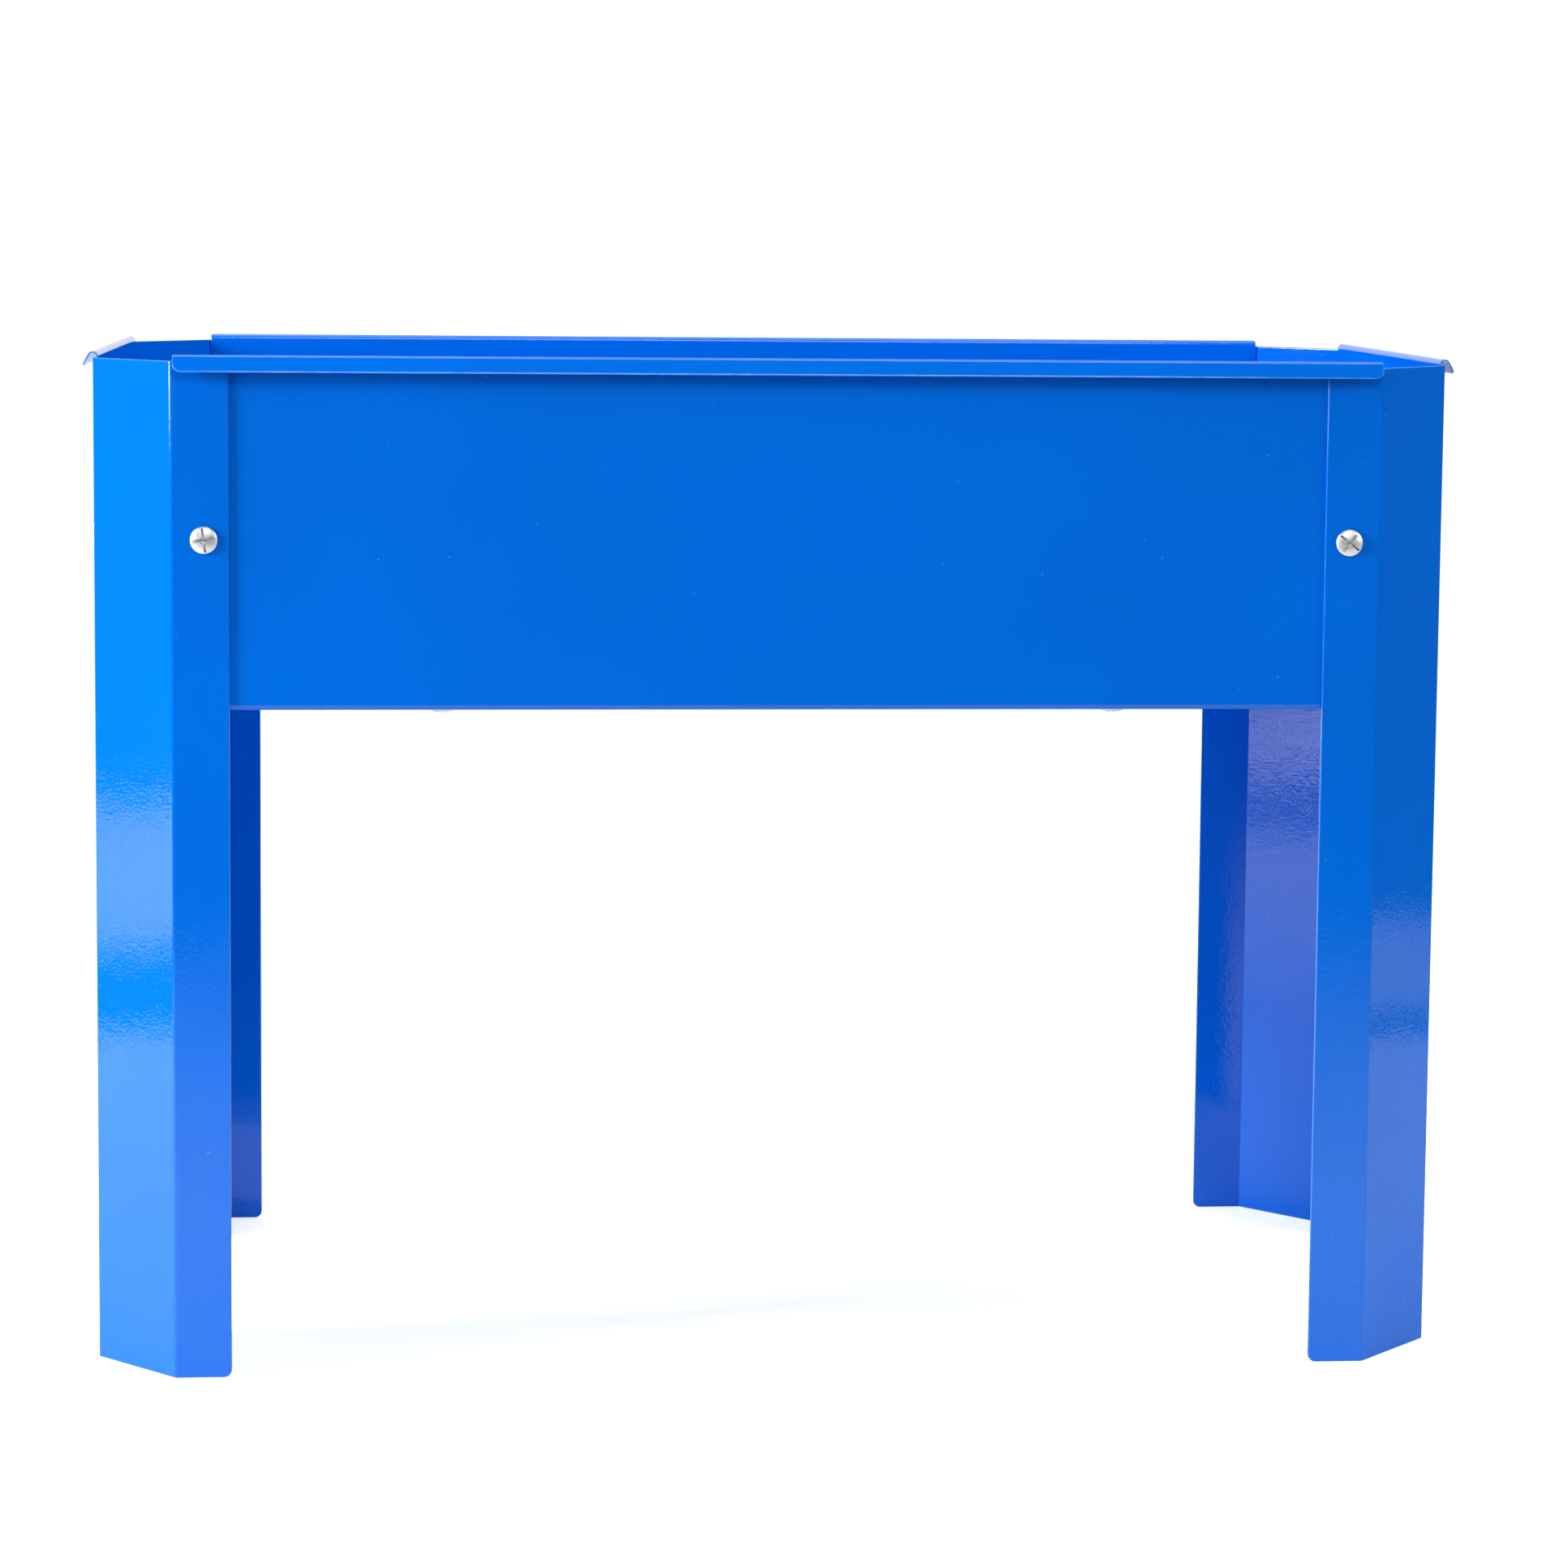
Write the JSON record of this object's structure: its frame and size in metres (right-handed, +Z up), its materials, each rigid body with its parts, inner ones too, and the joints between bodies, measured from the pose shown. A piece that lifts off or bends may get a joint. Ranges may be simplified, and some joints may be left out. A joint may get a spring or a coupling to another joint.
{
  "type": "raised planter on legs",
  "caption": "Folded sheet-steel planting trough with a rolled rim and cut corners, carried by folded corner legs and bolted together.",
  "frame": {"origin": "on the ground, under the middle of the planter", "axes": "+X along the trough, +Y from the front long side to the rear one, +Z up"},
  "size_m": [0.6192, 0.3012, 0.4548],
  "materials": {
    "powder_coat": "semi-gloss blue powder coat with fine orange peel",
    "zinc_plate": "bright zinc plated steel"
  },
  "bodies": {
    "root": {"floor_plate": "powder_coat", "front_left_end_nut": "zinc_plate", "front_left_end_screw": "zinc_plate", "front_left_face_nut": "zinc_plate", "front_left_face_screw": "zinc_plate", "front_left_floor_nut": "zinc_plate", "front_left_floor_screw": "zinc_plate", "front_left_leg": "powder_coat", "front_panel": "powder_coat", "front_right_end_nut": "zinc_plate", "front_right_end_screw": "zinc_plate", "front_right_face_nut": "zinc_plate", "front_right_face_screw": "zinc_plate", "front_right_floor_nut": "zinc_plate", "front_right_floor_screw": "zinc_plate", "front_right_leg": "powder_coat", "left_end_panel": "powder_coat", "rear_left_end_nut": "zinc_plate", "rear_left_end_screw": "zinc_plate", "rear_left_face_nut": "zinc_plate", "rear_left_face_screw": "zinc_plate", "rear_left_floor_nut": "zinc_plate", "rear_left_floor_screw": "zinc_plate", "rear_left_leg": "powder_coat", "rear_panel": "powder_coat", "rear_right_end_nut": "zinc_plate", "rear_right_end_screw": "zinc_plate", "rear_right_face_nut": "zinc_plate", "rear_right_face_screw": "zinc_plate", "rear_right_floor_nut": "zinc_plate", "rear_right_floor_screw": "zinc_plate", "rear_right_leg": "powder_coat", "right_end_panel": "powder_coat"}
  },
  "joints": []
}
